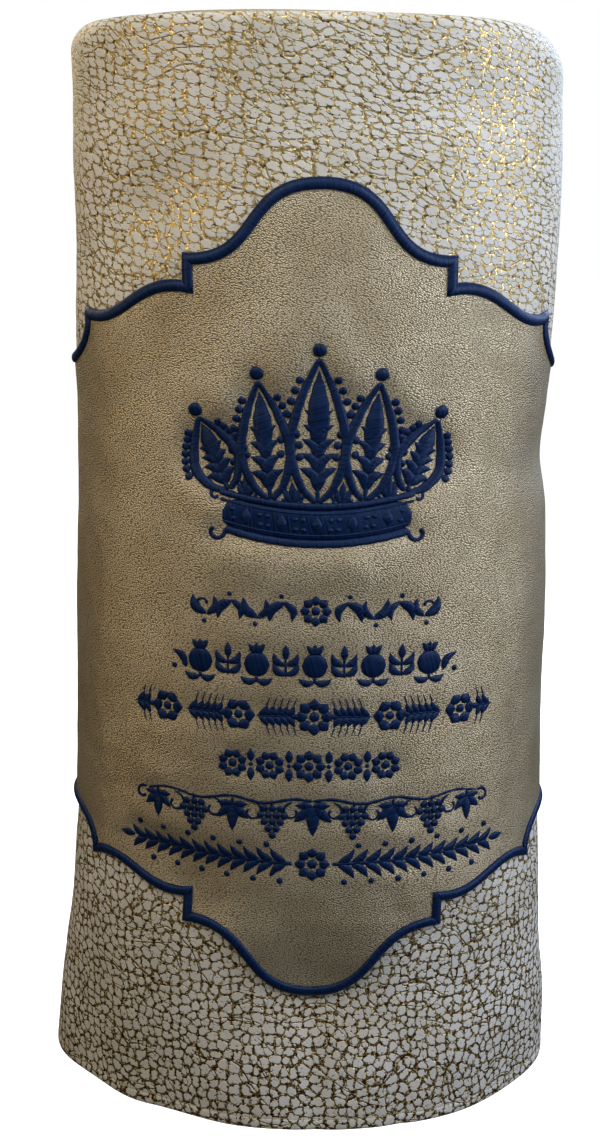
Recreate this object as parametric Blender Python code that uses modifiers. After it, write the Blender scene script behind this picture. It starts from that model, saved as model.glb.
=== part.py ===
"""Torah mantle: an oval leather cover, open below, that hangs over a scroll from its stiff top.

Frame: metres, +Z up, the decorated front faces -Y and +X is on the viewer's right. The origin is the centre of
the top's underside, where the scroll carries the mantle, so the hem is at z = -SEAT_HEIGHT. The tables below
give heights above the hem and distances round the wall from the centre front, both in millimetres.
"""

import bisect
import functools
import math

import bmesh
import bpy
import numpy as np

MM = 0.001

HEIGHT = 0.740  # hem to the highest line of the rim
WALL = 0.002  # crackled leather with its backing
HEM_WIDTH = 0.0075  # folded edge
HEM_SWELL = 0.0008  # how far the fold stands proud
HEM_STEP = 0.0015  # height over which it returns to the wall
LIP = 0.006  # wall turned in over the top panel
COLUMNS = 56  # round the whole mantle
WALL_ROWS = 20
WALL_TOP = 0.704  # where the rows give way to the rounded rim
RIM_STEPS = 4

GAP = 0.0003  # between pieces that touch
PANEL_CLEARANCE = 0.0007  # centre panel over the faceted wall
PANEL_SHEET = 0.0012
BORDER_CLEARANCE = 0.0008  # border over the faceted panel
BORDER_WIDTH = 0.0075
BORDER_RISE = 0.0024
BORDER_SHOULDER = (0.80, 0.62)  # of its half width and of its rise
BACK_START = 0.004  # level stretch before its first column at the back

TOP_EDGE = 0.0025  # thickness of the top panel where the lip covers it
TOP_OVERLAP = 0.005  # how far it reaches under the lip
HOLE_DIAMETER = 0.050
HOLE_SPACING = 0.160
HOLE_SIDES = 24
CUTTER_LENGTH = 0.060
SEAT_HEIGHT = HEIGHT - WALL - GAP - TOP_EDGE
SHARP_ANGLE = math.radians(40)
MERGE = 1e-6

# One row a section: height above the hem, half width left and right of the axis, half depth (mm).
SECTIONS = (
    (0, 195.0, 181.2, 115.0),
    (34, 192.6, 180.8, 113.5),
    (60, 189.8, 179.4, 112.0),
    (93, 185.1, 175.0, 110.0),
    (126, 180.0, 172.4, 108.0),
    (167, 176.0, 170.0, 106.5),
    (207, 172.2, 166.8, 105.0),
    (285, 168.9, 163.2, 103.0),
    (360, 167.2, 162.2, 101.5),
    (432, 164.2, 158.2, 100.5),
    (467, 163.4, 154.2, 100.0),
    (502, 163.0, 155.2, 100.0),
    (542, 164.4, 158.0, 100.0),
    (602, 162.6, 159.2, 99.5),
    (659, 163.0, 158.8, 98.5),
    (700, 162.2, 156.6, 98.0),
    (740, 162.8, 156.4, 100.0),
)

# One row a soft fold or dent: place round the wall, height, reach round it, reach up, slant in degrees, rise.
FOLDS = (
    (-180, 0, 46, 120, 0, -9.5),  # flattened left front of the hem, in two planes
    (-92, 0, 37, 80, 0, -5.0),
    (170, 0, 46, 100, 0, -5.0),  # flattened right front of the hem
    (-118, 44, 17, 55, 8, -2.6),  # trough that rises from the hem on the left
    (-62, 20, 30, 60, -6, 1.6),
    (4, 28, 9, 42, 2, -1.5),
    (66, 26, 9, 44, -4, -1.5),
    (118, 52, 22, 40, -10, 1.4),
    (-102, 672, 46, 20, -8, -3.0),  # dent below the left shoulder
    (-96, 618, 52, 18, 28, 1.8),  # and the ridge under it
    (92, 688, 60, 16, 4, -1.8),  # dent below the right shoulder
    (176, 463, 42, 14, 6, -2.2),  # crease at the right side's waist
    (-128, 486, 26, 60, 4, 1.2),
    (128, 508, 26, 56, -6, 1.2),
    (0, 486, 78, 58, 0, -1.6),  # leather drawn in behind the crown
    (-52, 150, 26, 30, 30, 1.0),
    (38, 132, 22, 34, -20, 1.0),
    (330, 300, 40, 150, 10, -2.0),  # slack at the back
    (-330, 420, 46, 130, -8, -2.0),
)

# Radius of the rim's turn-over at the front and back, and added at the two ends of the oval.
RIM_RADIUS, RIM_ADDED_LEFT, RIM_ADDED_RIGHT = 0.006, 0.012, 0.026
RIM_END_POWER = 4

# Outline of the centre panel, right half. One row a stretch of curve: start, its handle, the end's handle, end,
# each as distance round the wall and height (mm), and the number of steps. The left half mirrors it.
UPPER_OUTLINE = (
    ((0, 643.3), (50, 643.3), (34.5, 597.5), (82.5, 597.5), 12),
    ((82.5, 597.5), (82.5, 592), (82.5, 586), (82.5, 580.5), 1),
    ((82.5, 580.5), (120, 586), (128, 553), (164.5, 560), 10),
    ((164.5, 560), (164.5, 558), (164.5, 556), (164.5, 553.5), 1),
    ((164.5, 553.5), (166, 541), (182, 527), (206, 527), 5),
)
LOWER_OUTLINE = (
    ((0, 103.4), (50, 103.4), (36, 153), (87.5, 153.2), 12),
    ((87.5, 153.2), (87.5, 159), (87.5, 165), (87.5, 171.2), 1),
    ((87.5, 171.2), (122, 165), (132, 197), (166.8, 184.5), 10),
    ((166.8, 184.5), (166, 197), (178, 211), (206, 211), 6),
)
ROW_SNAP = 0.003  # a row this near to the panel's edge is drawn onto it
STEP_SPREAD = 0.0008  # half the distance over which the panel's edge climbs an upright step of its outline

# Crown of the top panel: share of the way from its edge to its centre, and rise over that edge (mm).
TOP_CROWN = ((0, 0), (0.063, 0), (0.09, 2.9), (0.155, 5.2), (0.30, 7.3), (0.55, 8.3), (1, 8.6))
RIGHT_CROWN = 0.62  # share of that rise at the right end

RING_STEPS = 360


def clear_scene():
    for found in list(bpy.data.objects):
        bpy.data.objects.remove(found, do_unlink=True)


def material(name, color, roughness, metallic=0.0):
    made = bpy.data.materials.new(name)
    made.use_nodes = True
    shader = made.node_tree.nodes["Principled BSDF"]
    shader.inputs["Base Color"].default_value = (*color, 1.0)
    shader.inputs["Roughness"].default_value = roughness
    shader.inputs["Metallic"].default_value = metallic
    return made


def curve_through(points, value):
    """Smooth curve through (place, amount) rows, level past the ends."""
    places = [row[0] for row in points]
    amounts = [row[1] for row in points]
    value = min(max(value, places[0]), places[-1])
    i = min(max(bisect.bisect_right(places, value) - 1, 0), len(places) - 2)

    def slope(k):
        if k == 0 or k == len(places) - 1:
            return 0.0
        return (amounts[k + 1] - amounts[k - 1]) / (places[k + 1] - places[k - 1])

    width = places[i + 1] - places[i]
    t = (value - places[i]) / width
    return (
        amounts[i] * (2 * t**3 - 3 * t**2 + 1)
        + amounts[i + 1] * (3 * t**2 - 2 * t**3)
        + slope(i) * width * (t**3 - 2 * t**2 + t)
        + slope(i + 1) * width * (t**3 - t**2)
    )


def fold_rise(around, height):
    """How far the folds lift the wall at a place, in metres."""
    total = 0.0
    whole = girth(height) / MM
    for place, level, reach, reach_up, slant, rise in FOLDS:
        across = (around / MM - place + whole / 2) % whole - whole / 2
        up = height / MM - level
        turn = math.radians(slant)
        along = across * math.cos(turn) + up * math.sin(turn)
        over = up * math.cos(turn) - across * math.sin(turn)
        total += rise * MM * math.exp(-((along / reach) ** 2) - (over / reach_up) ** 2)
    return total


@functools.lru_cache(maxsize=None)
def ring(height):
    """The oval at a height: points, outward directions and the distance round it to each, from the back seam."""
    left, right, depth = (
        curve_through([(row[0], row[column]) for row in SECTIONS], height / MM) * MM
        for column in (1, 2, 3)
    )
    angle = np.linspace(-math.pi, math.pi, RING_STEPS + 1)
    width = np.where(angle < 0, left, right)
    points = np.stack([width * np.sin(angle), -depth * np.cos(angle)], axis=1)
    outward = np.stack([depth * np.sin(angle), -width * np.cos(angle)], axis=1)
    outward /= np.linalg.norm(outward, axis=1)[:, None]
    lengths = np.linalg.norm(np.diff(points, axis=0), axis=1)
    travelled = np.concatenate([[0.0], np.cumsum(lengths)])
    return points, outward, travelled


def girth(height):
    return ring(height)[2][-1]


def wall_point(share, height, offset=0.0):
    """Point of the wall's outer face. share is -0.5 to 0.5 of the girth, 0 at the centre front."""
    points, outward, travelled = ring(height)
    front = np.interp(0.0, np.linspace(-math.pi, math.pi, RING_STEPS + 1), travelled)
    around = share * travelled[-1]
    at = (front + around) % travelled[-1]
    x, y = (np.interp(at, travelled, points[:, k]) for k in (0, 1))
    nx, ny = (np.interp(at, travelled, outward[:, k]) for k in (0, 1))
    lift = offset + fold_rise(around, height)
    return (x + nx * lift, y + ny * lift, height - SEAT_HEIGHT)


def share_at(angle, height):
    """Share of the girth at an angle of the oval, 0 at the centre front."""
    travelled = ring(height)[2]
    steps = np.linspace(-math.pi, math.pi, RING_STEPS + 1)
    front = np.interp(0.0, steps, travelled)
    return float((np.interp(angle, steps, travelled) - front) / travelled[-1])


COLUMN_SHARES = [
    share_at(math.pi * (2 * k / COLUMNS - 1), HEIGHT / 2) for k in range(COLUMNS + 1)
]
WALL_HEIGHTS = [
    float(height) for height in np.linspace(HEM_WIDTH + HEM_STEP, WALL_TOP, WALL_ROWS + 1)
]


def rim_radius(share):
    x = wall_point(share, HEIGHT)[0]
    half = SECTIONS[-1][2 if x > 0 else 1] * MM
    added = RIM_ADDED_RIGHT if x > 0 else RIM_ADDED_LEFT
    return RIM_RADIUS + added * abs(x / half) ** RIM_END_POWER


def new_object(name, mesh_builder, finish, collection):
    """Object whose mesh the open bmesh becomes, smooth but for its sharp edges."""
    mesh = bpy.data.meshes.new(name)
    mesh_builder.to_mesh(mesh)
    mesh_builder.free()
    mesh.materials.append(finish)
    mesh.shade_smooth()
    mesh.set_sharp_from_angle(angle=SHARP_ANGLE)
    made = bpy.data.objects.new(name, mesh)
    collection.objects.link(made)
    return made


def grid_sheet(columns, rows, place):
    """Sheet of columns x rows points, each put where place(column, row) says, its doubles merged."""
    sheet = bmesh.new()
    bmesh.ops.create_grid(
        sheet, x_segments=columns - 1, y_segments=rows - 1, size=1.0
    )
    for vertex in sheet.verts:
        column = round((vertex.co.x + 1) / 2 * (columns - 1))
        row = round((vertex.co.y + 1) / 2 * (rows - 1))
        vertex.co = place(column, row)
    bmesh.ops.remove_doubles(sheet, verts=sheet.verts[:], dist=MERGE)
    return sheet


def thicken(made, thickness, offset):
    solidify = made.modifiers.new("Thickness", "SOLIDIFY")
    solidify.thickness = thickness
    solidify.offset = offset
    solidify.use_even_offset = True


def build_body(finish, collection):
    """Wall from the folded hem to the rounded rim and its turned-in lip."""
    hem_rows = [(0.0, HEM_SWELL), (HEM_WIDTH, HEM_SWELL)]
    straight = len(hem_rows) + len(WALL_HEIGHTS)
    rows = straight + RIM_STEPS + 2

    def place(column, row):
        share = COLUMN_SHARES[column]
        if row < len(hem_rows):
            height, swell = hem_rows[row]
            return wall_point(share, height, swell)
        if row < straight:
            return wall_point(share, WALL_HEIGHTS[row - len(hem_rows)])
        radius = rim_radius(share)
        turn = min(row - straight, RIM_STEPS) / RIM_STEPS * math.pi / 2
        inset = radius * (1 - math.cos(turn))
        if row == rows - 1:
            inset += LIP
        height = HEIGHT - radius * (1 - math.sin(turn))
        return wall_point(share, height, -inset)

    body = new_object(
        "mantle_body", grid_sheet(COLUMNS + 1, rows, place), finish, collection
    )
    thicken(body, WALL, -1.0)
    return body


def bezier(points, t):
    return tuple(
        (1 - t) ** 3 * a + 3 * (1 - t) ** 2 * t * b + 3 * (1 - t) * t**2 * c + t**3 * d
        for a, b, c, d in zip(*points)
    )


def half_outline(stretches):
    """Points of an outline's right half, as (distance round the wall, height) in metres."""
    points = [tuple(value * MM for value in stretches[0][0])]
    for *handles, steps in stretches:
        for k in range(1, steps + 1):
            points.append(tuple(value * MM for value in bezier(handles, k / steps)))
    return points


def step_shares(stretch):
    """Shares of the girth at the two ends of an upright step, which is opened by STEP_SPREAD each way."""
    (place, start), _, _, (_, end), _ = stretch
    around = girth((start + end) / 2 * MM)
    return (place * MM - STEP_SPREAD) / around, (place * MM + STEP_SPREAD) / around


def is_upright(stretch):
    return stretch[0][0] == stretch[3][0]


def outline_height(stretches, share):
    """Height of an outline at a share of the girth."""
    rows = []
    for stretch in stretches:
        *handles, steps = stretch
        if is_upright(stretch):
            before, after = step_shares(stretch)
            rows[-1] = (before, handles[0][1] * MM)
            rows.append((after, handles[3][1] * MM))
            continue
        for k in range(1 if rows else 0, steps + 1):
            place, height = (value * MM for value in bezier(handles, k / steps))
            rows.append((place / girth(height), height))
    shares, heights = zip(*rows)
    return float(np.interp(abs(share), shares, heights))


def panel_columns():
    """Shares of the panel's columns: the wall's, and one at each end of every upright step of an outline."""
    shares = {round(share, 9) for share in COLUMN_SHARES}
    for stretch in UPPER_OUTLINE + LOWER_OUTLINE:
        if is_upright(stretch):
            for share in step_shares(stretch):
                shares |= {share, -share}
    return sorted(shares)


def build_panel(finish, collection):
    """Sheet round the wall between the two outlines, its rows on the wall's own rows."""
    shares = panel_columns()
    low, high = (
        [outline_height(stretches, share) for share in shares]
        for stretches in (LOWER_OUTLINE, UPPER_OUTLINE)
    )
    heights = [h for h in WALL_HEIGHTS if min(low) < h < max(high)]
    heights = [min(low)] + heights + [max(high)]

    def place(column, row):
        height = heights[row]
        if height < low[column] + ROW_SNAP:
            height = low[column]
        if height > high[column] - ROW_SNAP:
            height = high[column]
        return wall_point(shares[column], height, PANEL_CLEARANCE)

    sheet = grid_sheet(len(shares), len(heights), place)
    bmesh.ops.dissolve_degenerate(sheet, dist=MERGE, edges=sheet.edges[:])
    panel = new_object("centre_panel", sheet, finish, collection)
    thicken(panel, PANEL_SHEET, 1.0)
    return panel


def build_border(name, stretches, finish, collection):
    """Raised cord on an outline: a low dome with a flat underside, mitred at the corners."""
    half = BORDER_WIDTH / 2
    base = PANEL_CLEARANCE + PANEL_SHEET + BORDER_CLEARANCE
    shoulder, shoulder_rise = BORDER_SHOULDER[0] * half, BORDER_SHOULDER[1] * BORDER_RISE
    profile = (
        (-half, base),
        (half, base),
        (shoulder, base + shoulder_rise),
        (0.0, base + BORDER_RISE),
        (-shoulder, base + shoulder_rise),
    )
    right = half_outline(stretches)
    level = right[-1][1]
    around = girth(level)
    seam = around / 2
    backs = [share * around for share in COLUMN_SHARES if right[-1][0] + BACK_START < share * around]
    half_route = right + [(place, level) for place in backs if place < seam - BACK_START]
    route = half_route + [(seam, level)]
    route += [(around - place, height) for place, height in reversed(half_route[1:])]
    count = len(route)

    def unwrapped(k):
        place, height = route[k % count]
        turns = k // count
        return place + turns * around, height

    def sideways(k):
        before, here, after = (np.array(unwrapped(k + step)) for step in (-1, 0, 1))
        first, second = here - before, after - here
        first, second = (v / np.linalg.norm(v) for v in (first, second))
        normals = [np.array((-v[1], v[0])) for v in (first, second)]
        return (normals[0] + normals[1]) / (1 + normals[0] @ normals[1])

    def place(column, row):
        k = column % count
        across, rise = profile[row % len(profile)]
        shifted = np.array(unwrapped(k)) + across * sideways(k)
        here = shifted[0] - (around if shifted[0] > seam else 0.0)
        return wall_point(here / girth(shifted[1]), shifted[1], rise)

    tube = grid_sheet(count + 1, len(profile) + 1, place)
    bmesh.ops.recalc_face_normals(tube, faces=tube.faces[:])
    return new_object(name, tube, finish, collection)


def build_top(finish, collection, cutters):
    """Crowned oval with a flat underside, its edge under the lip, and two holes for the roller handles."""
    width = (SECTIONS[-1][1] + SECTIONS[-1][2]) * MM

    def crown(x, rise):
        return rise * MM * (1 + (RIGHT_CROWN - 1) * (x / width + 0.5))

    def place(column, row):
        share = COLUMN_SHARES[column]
        x, y, _ = wall_point(share, HEIGHT, -rim_radius(share) - LIP + TOP_OVERLAP)
        if row < 2:
            return (x * row, y * row, 0.0)
        inward, rise = TOP_CROWN[row - 2]
        x, y = x * (1 - inward), y * (1 - inward)
        return (x, y, TOP_EDGE + crown(x, rise))

    dome = grid_sheet(COLUMNS + 1, 2 + len(TOP_CROWN), place)
    bmesh.ops.dissolve_degenerate(dome, dist=MERGE, edges=dome.edges[:])
    bmesh.ops.recalc_face_normals(dome, faces=dome.faces[:])
    top_panel = new_object("top_panel", dome, finish, collection)

    for side in (-1, 1):
        bpy.ops.mesh.primitive_cylinder_add(
            vertices=HOLE_SIDES,
            radius=HOLE_DIAMETER / 2,
            depth=CUTTER_LENGTH,
            location=(side * HOLE_SPACING / 2, 0, 0),
        )
        cutter = bpy.context.object
        cutter.name = f"handle_hole_cutter_{'left' if side < 0 else 'right'}"
        cutter.hide_render = True
        cutter.display_type = "WIRE"
        for home in list(cutter.users_collection):
            home.objects.unlink(cutter)
        cutters.objects.link(cutter)
        cut = top_panel.modifiers.new("Handle hole", "BOOLEAN")
        cut.object = cutter
        cut.operation = "DIFFERENCE"
    return top_panel


def main():
    clear_scene()
    parts = bpy.data.collections.new("torah_mantle")
    cutters = bpy.data.collections.new("cutters")
    for collection in (parts, cutters):
        bpy.context.scene.collection.children.link(collection)
    crackle = material("crackled_leather", (0.45, 0.43, 0.40), 0.6)
    champagne = material("champagne_leather", (0.27, 0.23, 0.17), 0.4, 0.4)
    navy = material("navy_satin_thread", (0.012, 0.024, 0.065), 0.45)
    build_body(crackle, parts)
    build_top(champagne, parts, cutters)
    build_panel(champagne, parts)
    build_border("border_upper", UPPER_OUTLINE, navy, parts)
    build_border("border_lower", LOWER_OUTLINE, navy, parts)


main()
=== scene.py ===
import math

import bmesh
import bpy
import numpy as np
from mathutils import Matrix, Vector, noise


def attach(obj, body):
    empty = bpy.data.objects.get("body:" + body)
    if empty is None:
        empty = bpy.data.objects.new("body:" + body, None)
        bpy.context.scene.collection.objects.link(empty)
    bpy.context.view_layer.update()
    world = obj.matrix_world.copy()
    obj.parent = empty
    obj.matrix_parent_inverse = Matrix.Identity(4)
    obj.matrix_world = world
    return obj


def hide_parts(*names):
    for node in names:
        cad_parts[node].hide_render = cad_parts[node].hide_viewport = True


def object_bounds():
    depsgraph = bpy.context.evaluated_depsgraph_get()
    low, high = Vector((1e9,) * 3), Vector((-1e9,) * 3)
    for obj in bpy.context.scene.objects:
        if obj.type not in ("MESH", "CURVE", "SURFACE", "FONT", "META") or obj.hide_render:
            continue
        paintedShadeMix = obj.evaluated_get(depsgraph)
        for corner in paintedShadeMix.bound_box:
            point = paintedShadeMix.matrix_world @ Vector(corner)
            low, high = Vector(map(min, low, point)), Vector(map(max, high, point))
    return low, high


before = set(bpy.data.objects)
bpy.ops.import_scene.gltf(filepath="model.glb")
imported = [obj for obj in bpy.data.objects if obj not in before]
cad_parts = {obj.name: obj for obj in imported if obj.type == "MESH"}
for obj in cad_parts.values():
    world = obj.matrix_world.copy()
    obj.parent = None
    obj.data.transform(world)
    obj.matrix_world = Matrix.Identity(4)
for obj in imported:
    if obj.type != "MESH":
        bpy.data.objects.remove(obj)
cadLow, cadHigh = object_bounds()

# Torah mantle in two leathers, seen from the front along +Y with +X on the right. Flat places are in mm: the
# distance round the wall from the centre front, and the height above the hem.
mm = 0.001
floorHeight = cadLow.z

mantle = {
    "height": 740.0,  # hem to the highest line of the rim
    "seatHeight": 735.2,  # hem to the top panel's flat underside, which is z = 0
    "wall": 2.0,
    "hemWidth": 7.5,
    "hemSwell": 0.45,  # how far the hem's fold stands out
    "lip": 6.0,  # wall turned in over the top panel
    "rimRadius": 6.0,
    "rimAddedLeft": 12.0,  # at the oval's ends the leather bends over more gently
    "rimAddedRight": 26.0,
    "rimEndPower": 4,  # how late towards the ends that begins
}

# Height above the hem, half width left and right of the axis, half depth.
sections = np.array((
    (0, 195.0, 181.2, 115.0),
    (34, 192.6, 180.8, 113.5),
    (60, 189.8, 179.4, 112.0),
    (93, 185.1, 175.0, 110.0),
    (126, 180.0, 172.4, 108.0),
    (167, 176.0, 170.0, 106.5),
    (207, 172.2, 166.8, 105.0),
    (285, 168.9, 163.2, 103.0),
    (360, 167.2, 162.2, 101.5),
    (432, 164.2, 158.2, 100.5),
    (467, 163.4, 154.2, 100.0),
    (502, 163.0, 155.2, 100.0),
    (542, 164.4, 158.0, 100.0),
    (602, 162.6, 159.2, 99.5),
    (659, 163.0, 158.8, 98.5),
    (700, 162.2, 156.6, 98.0),
    (740, 162.8, 156.4, 100.0),
))

# Soft folds: place round the wall, height, reach round it, reach up, slant in degrees, rise.
folds = (
    (-180, 0, 46, 120, 0, -9.5),
    (-92, 0, 37, 80, 0, -5.0),
    (170, 0, 46, 100, 0, -5.0),
    (-118, 44, 17, 55, 8, -2.6),
    (-62, 20, 30, 60, -6, 1.6),
    (4, 28, 9, 42, 2, -1.5),
    (66, 26, 9, 44, -4, -1.5),
    (118, 52, 22, 40, -10, 1.4),
    (-104, 636, 50, 24, 30, -3.8),
    (-92, 594, 54, 20, 30, 2.2),
    (-106, 716, 60, 12, 0, 0.8),
    (92, 688, 60, 16, 4, -1.8),
    (176, 463, 42, 24, 6, -2.0),
    (4, 98, 66, 38, 0, -7.0),
    (-84, 178, 46, 30, -20, -5.5),
    (36, 192, 66, 10, 0, 1.3),
    (96, 90, 34, 36, 24, -2.6),
    (-128, 486, 26, 60, 4, 1.2),
    (128, 508, 26, 56, -6, 1.2),
    (0, 486, 78, 58, 0, -1.6),
    (-52, 150, 26, 30, 30, 1.0),
    (38, 132, 22, 34, -20, 1.0),
    (330, 300, 40, 150, 10, -2.0),
    (-330, 420, 46, 130, -8, -2.0),
)


def throughSections(column, heights):
    # Smooth curve through one column of the sections, level past its ends.
    places, amounts = sections[:, 0], sections[:, column]
    slopes = np.zeros(len(places))
    slopes[1:-1] = (amounts[2:] - amounts[:-2]) / (places[2:] - places[:-2])
    at = np.clip(heights, places[0], places[-1])
    i = np.clip(np.searchsorted(places, at, side="right") - 1, 0, len(places) - 2)
    width = places[i + 1] - places[i]
    t = (at - places[i]) / width
    return (
        amounts[i] * (2 * t**3 - 3 * t**2 + 1)
        + amounts[i + 1] * (3 * t**2 - 2 * t**3)
        + slopes[i] * width * (t**3 - 2 * t**2 + t)
        + slopes[i + 1] * width * (t**3 - t**2)
    )


def measuredWall(levelCount=297, shareCount=721):
    # The oval at even levels, read at even shares of its girth from the back seam: x, y and the way outwards.
    levels = np.linspace(0, mantle["height"], levelCount)
    angle = np.linspace(-math.pi, math.pi, shareCount)
    table = np.empty((levelCount, shareCount, 4))
    girths = np.empty(levelCount)
    for k, level in enumerate(levels):
        left, right, depth = (throughSections(column, level) for column in (1, 2, 3))
        width = np.where(angle < 0, left, right)
        x, y = width * np.sin(angle), -depth * np.cos(angle)
        outward = np.stack([depth * np.sin(angle), -width * np.cos(angle)])
        outward /= np.linalg.norm(outward, axis=0)
        travelled = np.concatenate([[0.0], np.cumsum(np.hypot(np.diff(x), np.diff(y)))])
        front = np.interp(0.0, angle, travelled)
        girths[k] = travelled[-1]
        at = (front + np.linspace(-0.5, 0.5, shareCount) * girths[k]) % girths[k]
        for column, values in enumerate((x, y, *outward)):
            table[k, :, column] = np.interp(at, travelled, values)
    return levels, girths, table


levels, girths, wallTable = measuredWall()


def girth(heights):
    return np.interp(heights, levels, girths)


def foldRise(around, heights):
    whole = girth(heights)
    total = np.zeros_like(around)
    for place, level, reach, reachUp, slant, rise in folds:
        across = (around - place + whole / 2) % whole - whole / 2
        up = heights - level
        turn = math.radians(slant)
        along = across * math.cos(turn) + up * math.sin(turn)
        over = up * math.cos(turn) - across * math.sin(turn)
        total += rise * np.exp(-((along / reach) ** 2) - (over / reachUp) ** 2)
    return total


def readGrid(grid, row, column):
    # Values between a grid's points.
    row0 = np.minimum(row.astype(int), grid.shape[0] - 2)
    column0 = np.minimum(column.astype(int), grid.shape[1] - 2)
    up, along = row - row0, column - column0
    if grid.ndim > 2:
        up, along = up[..., None], along[..., None]
    low = grid[row0, column0] * (1 - along) + grid[row0, column0 + 1] * along
    high = grid[row0 + 1, column0] * (1 - along) + grid[row0 + 1, column0 + 1] * along
    return low * (1 - up) + high * up


def onWall(around, heights, lift):
    # Points in metres, lifted off the wall along the oval's outward direction.
    around, heights, lift = (np.asarray(value, float) for value in np.broadcast_arrays(around, heights, lift))
    levelCount, shareCount = wallTable.shape[:2]
    row = np.clip(heights / mantle["height"], 0, 1) * (levelCount - 1)
    column = (around / girth(heights) + 0.5) % 1.0 * (shareCount - 1)
    x, y, nx, ny = np.moveaxis(readGrid(wallTable, row, column), -1, 0)
    lift = lift + foldRise(around, heights)
    return np.stack([x + nx * lift, y + ny * lift, heights - mantle["seatHeight"]], axis=-1) * mm


def travel(line):
    # Distance along a line's points.
    return np.concatenate([[0.0], np.cumsum(np.linalg.norm(np.diff(line, axis=0), axis=1))])


def sideways(line):
    # Directions to the left of a line.
    forward = np.gradient(line, axis=0)
    forward /= np.maximum(np.linalg.norm(forward, axis=1), 1e-9)[:, None]
    return forward[:, ::-1] * (-1, 1)


def lumps(around, heights, size, seed):
    # Smooth random rise and fall, about -1 to 1, with features of this size in mm.
    places = np.stack(np.broadcast_arrays(around, heights), axis=-1).reshape(-1, 2) / size
    values = [noise.noise(Vector((a, b, seed))) for a, b in places.tolist()]
    return np.array(values).reshape(np.shape(around))


def smoothStep(low, high, value):
    t = np.clip((value - low) / (high - low), 0, 1)
    return t * t * (3 - 2 * t)


def meshOfGrids(name, grids, merge=1e-6):
    # One mesh of create_grid sheets, each with its points and its flat places, its doubles merged.
    built = bmesh.new()
    for places, flat in grids:
        rows, columns = places.shape[:2]
        bmesh.ops.create_grid(built, x_segments=columns - 1, y_segments=rows - 1, size=1.0)
    mesh = newMesh(name, built)
    corners = np.empty(len(mesh.vertices) * 3, np.float32)
    mesh.vertices.foreach_get("co", corners)
    corners = corners.reshape(-1, 3)
    places3, places2, start = np.empty_like(corners), np.empty((len(corners), 2), np.float32), 0
    for places, flat in grids:
        rows, columns = places.shape[:2]
        here = slice(start, start + rows * columns)
        column = np.rint((corners[here, 0] + 1) / 2 * (columns - 1)).astype(int)
        row = np.rint((corners[here, 1] + 1) / 2 * (rows - 1)).astype(int)
        places3[here] = places[row, column]
        places2[here] = flat[row, column] * mm
        start += rows * columns
    mesh.vertices.foreach_set("co", places3.ravel())
    loops = np.empty(len(mesh.loops), np.int32)
    mesh.loops.foreach_get("vertex_index", loops)
    layer = mesh.uv_layers.new(name="flat")
    layer.uv.foreach_set("vector", places2[loops].ravel())
    built = bmesh.new()
    built.from_mesh(mesh)
    bmesh.ops.remove_doubles(built, verts=built.verts[:], dist=merge)
    bmesh.ops.dissolve_degenerate(built, dist=merge, edges=built.edges[:])
    bmesh.ops.recalc_face_normals(built, faces=built.faces[:])
    built.to_mesh(mesh)
    built.free()
    mesh.update()
    return mesh


def newObject(name, data):
    made = bpy.data.objects.new(name, data)
    bpy.context.scene.collection.objects.link(made)
    return made


def newMesh(name, built):
    # The bmesh as a mesh, and the bmesh is done with.
    mesh = bpy.data.meshes.new(name)
    built.to_mesh(mesh)
    built.free()
    return mesh


def newPiece(name, mesh, finishes, nodes=()):
    piece = newObject(name, mesh)
    for finish in finishes:
        mesh.materials.append(finish)
    mesh.shade_smooth()
    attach(piece, "root")
    if nodes:
        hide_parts(*nodes)
    return piece


def thicken(piece, thickness, offset, inside=0):
    # Wall for a sheet whose faces point outwards, turned round first where they don't.
    outwards = sum(f.normal.dot(Vector((f.center.x, f.center.y, 0))) for f in list(piece.data.polygons)[::97])
    if outwards < 0:
        piece.data.flip_normals()
    solidify = piece.modifiers.new("Thickness", "SOLIDIFY")
    solidify.thickness = thickness * mm
    solidify.offset = offset
    solidify.use_even_offset = True
    solidify.material_offset = inside


def hexColour(code):
    channels = [int(code[i:i + 2], 16) / 255 for i in (1, 3, 5)]
    return (*(c / 12.92 if c <= 0.04045 else ((c + 0.055) / 1.055) ** 2.4 for c in channels), 1.0)


def setInputs(tree, node, inputs):
    # Inputs are named, numbered, or a row in the node's own order. Each is a value, a hex colour, a socket, or
    # a node for its first output. A MapRange's row is its value, from two values, to two values.
    for name, value in inputs.items() if isinstance(inputs, dict) else enumerate(inputs):
        if isinstance(value, bpy.types.Node):
            value = value.outputs[0]
        if isinstance(value, bpy.types.NodeSocket):
            tree.links.new(value, node.inputs[name])
        else:
            node.inputs[name].default_value = hexColour(value) if isinstance(value, str) else value


def addNode(tree, kind, inputs=(), **properties):
    made = tree.nodes.new("ShaderNode" + kind)
    for name, value in properties.items():
        setattr(made, name, value)
    setInputs(tree, made, inputs)
    return made


def newMaterial(name, settings):
    # A bare Principled surface whose constants are set on its own sockets, and the flat map in millimetres.
    finish = bpy.data.materials.new(name)
    finish.use_nodes = True
    tree = finish.node_tree
    tree.nodes.clear()
    shader = addNode(tree, "BsdfPrincipled", settings)
    addNode(tree, "OutputMaterial", {"Surface": shader})
    flat = addNode(tree, "UVMap", uv_map="flat")
    place = addNode(tree, "VectorMath", {0: flat, "Scale": 1 / mm}, operation="SCALE")
    return finish, tree, shader, place


def drawAbout(tree, places, moves):
    # Places drawn about by noises, each with the mm it moves them.
    for field, amount in moves:
        places = addNode(tree, "VectorMath", (field.outputs["Color"], (amount, amount, 0), places),
                         operation="MULTIPLY_ADD")
    return places


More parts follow.
